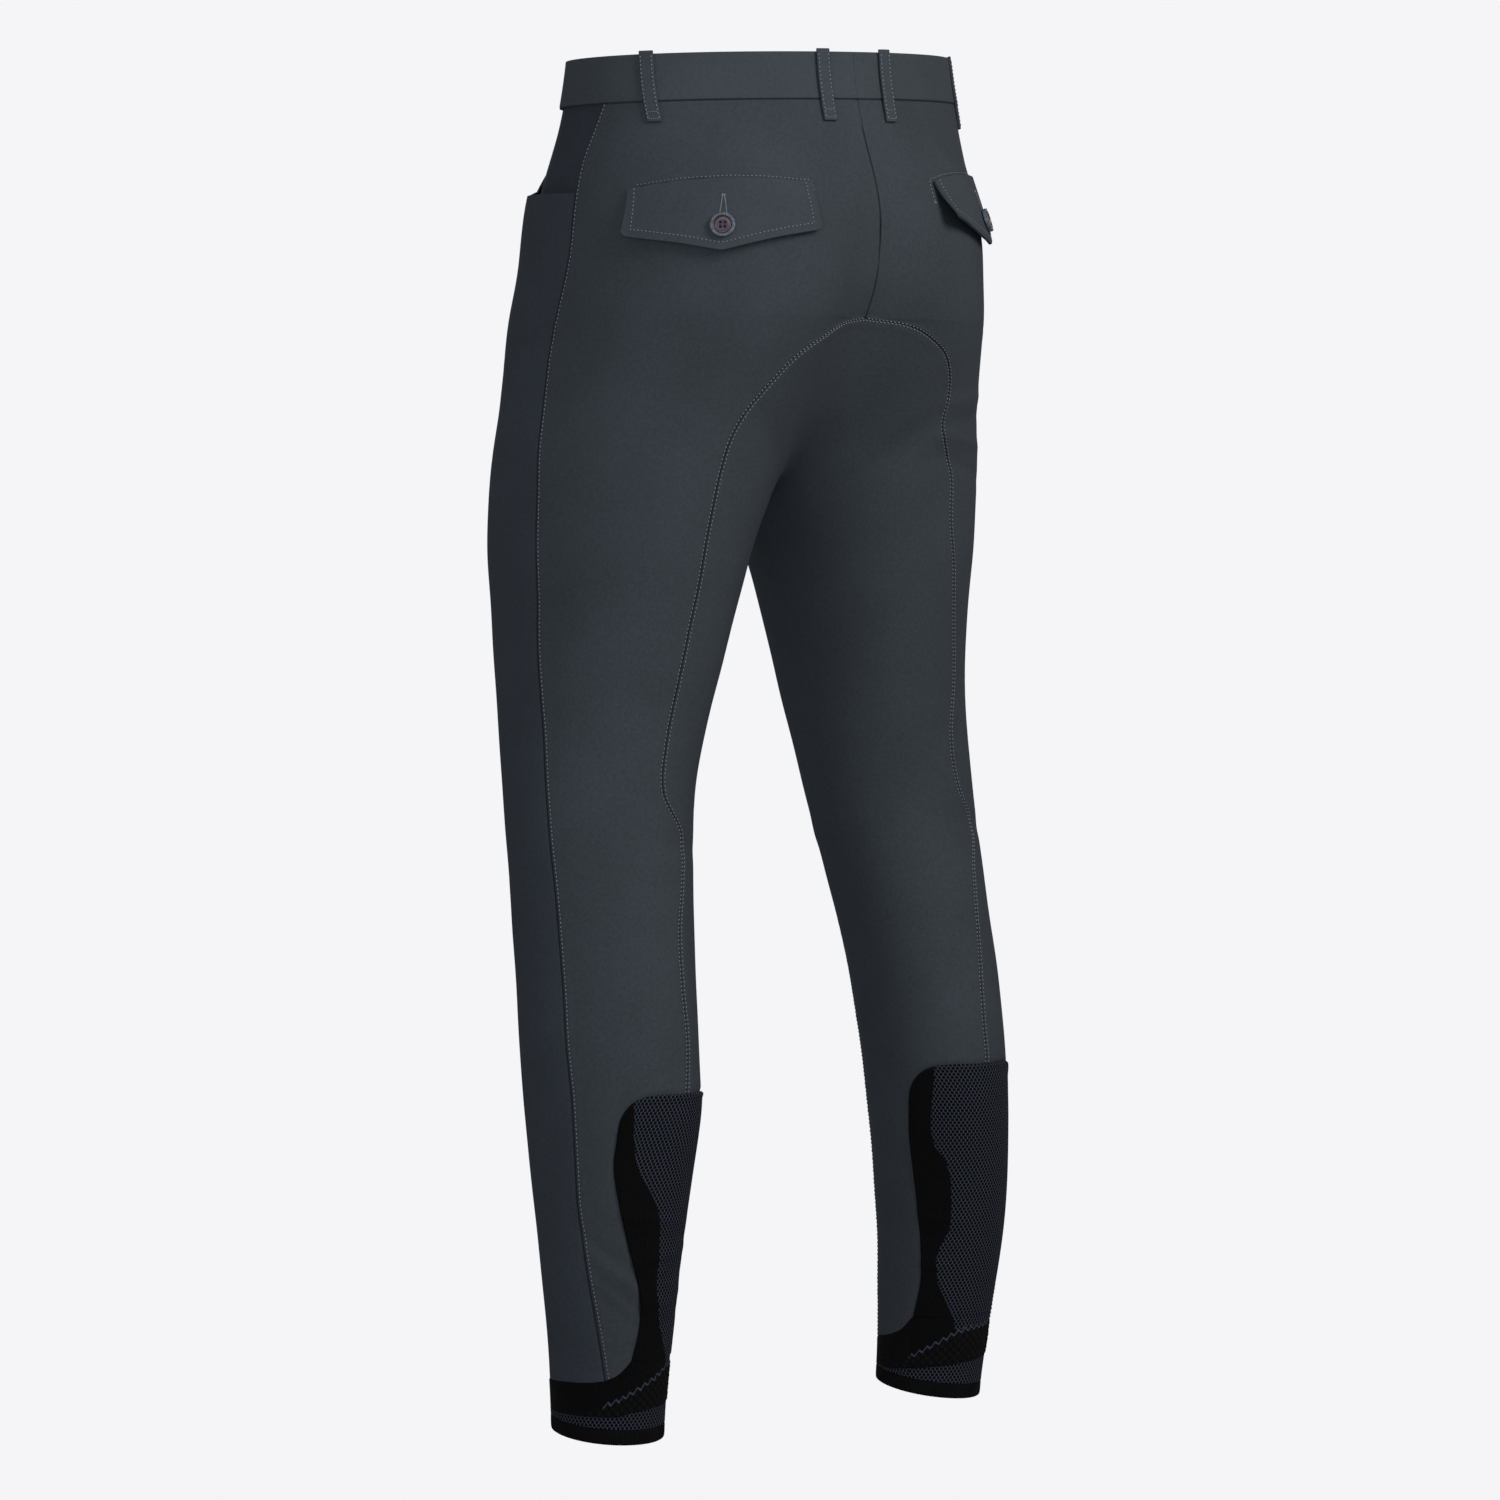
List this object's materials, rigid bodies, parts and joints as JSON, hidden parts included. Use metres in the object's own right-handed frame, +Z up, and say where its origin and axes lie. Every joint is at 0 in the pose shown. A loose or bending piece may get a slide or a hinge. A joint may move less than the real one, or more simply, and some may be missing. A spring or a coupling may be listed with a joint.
{
  "type": "riding breeches",
  "caption": "Worn-form stretch riding breeches with belt loops, buttoned back flaps, curved front pockets, a seat and inner-leg panel, and knitted calf tongues with ribbed ankle cuffs.",
  "frame": {"origin": "middle of the waistband's ring, at half its height", "axes": "+Z up the body, -Y the way the wearer faces, +X the wearer's left"},
  "size_m": [0.4074, 0.2981, 1.0036],
  "materials": {
    "jersey": "matt stretch jersey, slate grey",
    "band": "matt stretch jersey, doubled, slate grey",
    "knit": "open-faced technical knit, black and dark navy",
    "hem": "ribbed knit, black",
    "button": "polished resin, dark with a lighter rim"
  },
  "bodies": {
    "root": {"back_left": "jersey", "back_right": "jersey", "front_left": "jersey", "front_right": "jersey", "inner_leg_left": "jersey", "inner_leg_right": "jersey", "pocket_facing_left": "jersey", "pocket_facing_right": "jersey", "waistband_left": "band", "waistband_right": "band", "gaiter_left": "knit", "gaiter_right": "knit", "hem_left": "hem", "hem_right": "hem", "flap_left": "jersey", "flap_right": "jersey", "flap_button_left": "button", "flap_button_right": "button", "belt_loop_back_left": "band", "belt_loop_back_right": "band", "belt_loop_side_left": "band", "belt_loop_side_right": "band", "belt_loop_front_left": "band", "belt_loop_front_right": "band", "waist_button": "button"}
  },
  "joints": []
}
